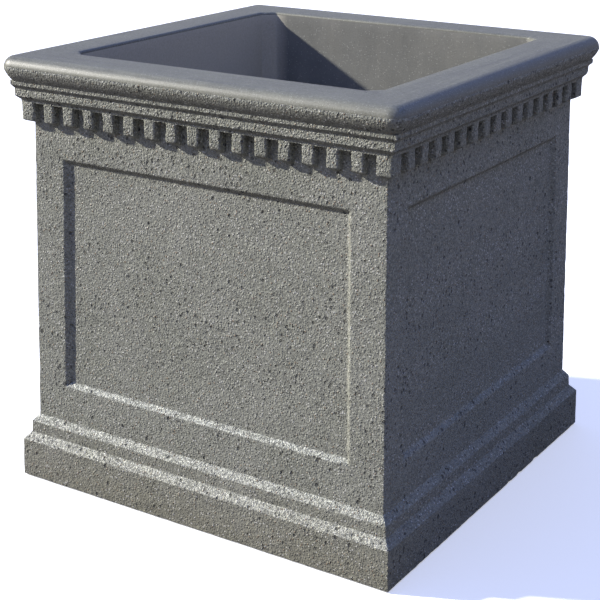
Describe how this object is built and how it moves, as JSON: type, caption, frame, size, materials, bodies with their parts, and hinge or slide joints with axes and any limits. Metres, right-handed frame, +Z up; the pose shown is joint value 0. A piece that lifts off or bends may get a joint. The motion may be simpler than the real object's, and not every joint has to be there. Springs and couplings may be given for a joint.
{
  "type": "concrete planter",
  "caption": "Square precast concrete planter with a stepped plinth, sunk wall panels, a dentil course, a half-round rim and a lift-out drain screen.",
  "frame": {"origin": "on the ground, in the middle of the footprint", "axes": "+Z up; -Y out of the front wall, the lit one in the picture; +X out of the right wall"},
  "size_m": [0.914, 0.914, 0.9205],
  "materials": {
    "concrete": "sandblasted outside, trowelled rim, form-finished cavity",
    "reinforcing_steel": "mill scale with light rust",
    "chair_plastic": "moulded",
    "insert_steel": "zinc plated",
    "drain_plastic": "extruded pipe",
    "screen_plastic": "moulded",
    "pad_rubber": "cut sheet"
  },
  "bodies": {
    "planter": {"concrete_body": "concrete", "base_hoop": "reinforcing_steel", "lower_hoop": "reinforcing_steel", "middle_hoop": "reinforcing_steel", "upper_hoop": "reinforcing_steel", "rim_hoop": "reinforcing_steel", "u_bar_x_1": "reinforcing_steel", "u_bar_x_2": "reinforcing_steel", "u_bar_y_1": "reinforcing_steel", "u_bar_y_2": "reinforcing_steel", "corner_bar_1": "reinforcing_steel", "corner_bar_2": "reinforcing_steel", "corner_bar_3": "reinforcing_steel", "corner_bar_4": "reinforcing_steel", "bar_chair_1": "chair_plastic", "bar_chair_2": "chair_plastic", "bar_chair_3": "chair_plastic", "bar_chair_4": "chair_plastic", "lifting_insert_1": "insert_steel", "lifting_insert_2": "insert_steel", "lifting_insert_3": "insert_steel", "lifting_insert_4": "insert_steel", "setting_pad_1": "pad_rubber", "setting_pad_2": "pad_rubber", "setting_pad_3": "pad_rubber", "setting_pad_4": "pad_rubber", "drain_sleeve": "drain_plastic"},
    "screen": {"drain_screen": "screen_plastic"}
  },
  "joints": [
    {"name": "screen_lift", "type": "slide", "parent": "planter", "child": "screen", "axis": [0, 0, 1], "range_m": [0, 0.85]}
  ]
}
